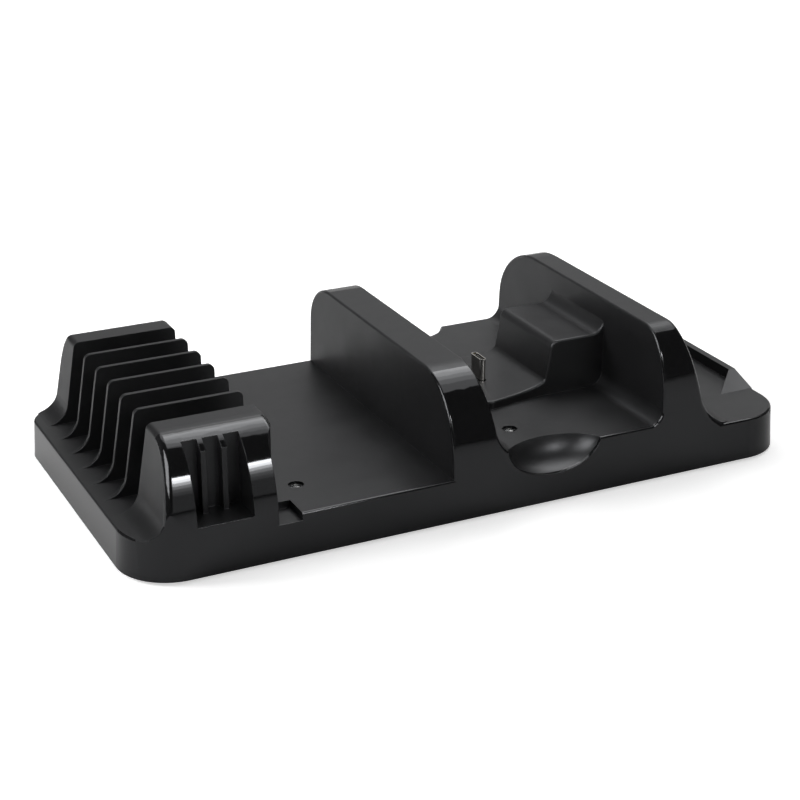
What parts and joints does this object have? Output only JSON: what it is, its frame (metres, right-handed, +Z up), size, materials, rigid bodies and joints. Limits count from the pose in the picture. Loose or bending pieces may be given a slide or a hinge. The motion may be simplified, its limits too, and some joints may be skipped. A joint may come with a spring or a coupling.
{
  "type": "game console charging stand",
  "caption": "Low black stand with a finned game case rack, a dock bay and a controller bay with an upright charging plug.",
  "frame": {"origin": "under the middle of the stand, on the plane that the rubber feet rest on", "axes": "+X along the length from the case rack to the shelf, +Y to the back, +Z up"},
  "size_m": [0.2472, 0.122, 0.053],
  "materials": {
    "case_plastic": "black moulding, gloss on the outer curves and satin inside the bays",
    "cover_plastic": "black, fine matte texture",
    "foot_rubber": "matte black",
    "screw_steel": "zinc plated",
    "board": "green solder mask",
    "nickel": "bright nickel plate",
    "resin": "black moulded resin",
    "contact_gold": "gold plated",
    "ferrite": "dark grey ferrite",
    "can": "drawn cans",
    "lens": "clear moulded",
    "light_chip": "white package",
    "lead_sleeve": "grey flat lead"
  },
  "bodies": {
    "root": {"top_housing": "case_plastic", "bottom_cover": "cover_plastic", "foot_front_left": "foot_rubber", "foot_front_right": "foot_rubber", "foot_rear_left": "foot_rubber", "foot_rear_right": "foot_rubber", "case_screws": "screw_steel", "board_screws": "screw_steel", "main_board": "board", "plug_board": "board", "dock_light_board": "board", "pad_light_board": "board", "plug_shell": "nickel", "inlet_shell": "nickel", "plug_insert": "resin", "plug_base": "resin", "inlet_core": "resin", "charge_chip": "resin", "plug_contacts": "contact_gold", "power_coil": "ferrite", "filter_capacitors": "can", "dock_light_lens": "lens", "pad_light_lens": "lens", "dock_light_chip": "light_chip", "pad_light_chip": "light_chip", "plug_lead": "lead_sleeve", "pad_light_lead": "lead_sleeve", "dock_light_lead": "lead_sleeve"}
  },
  "joints": []
}
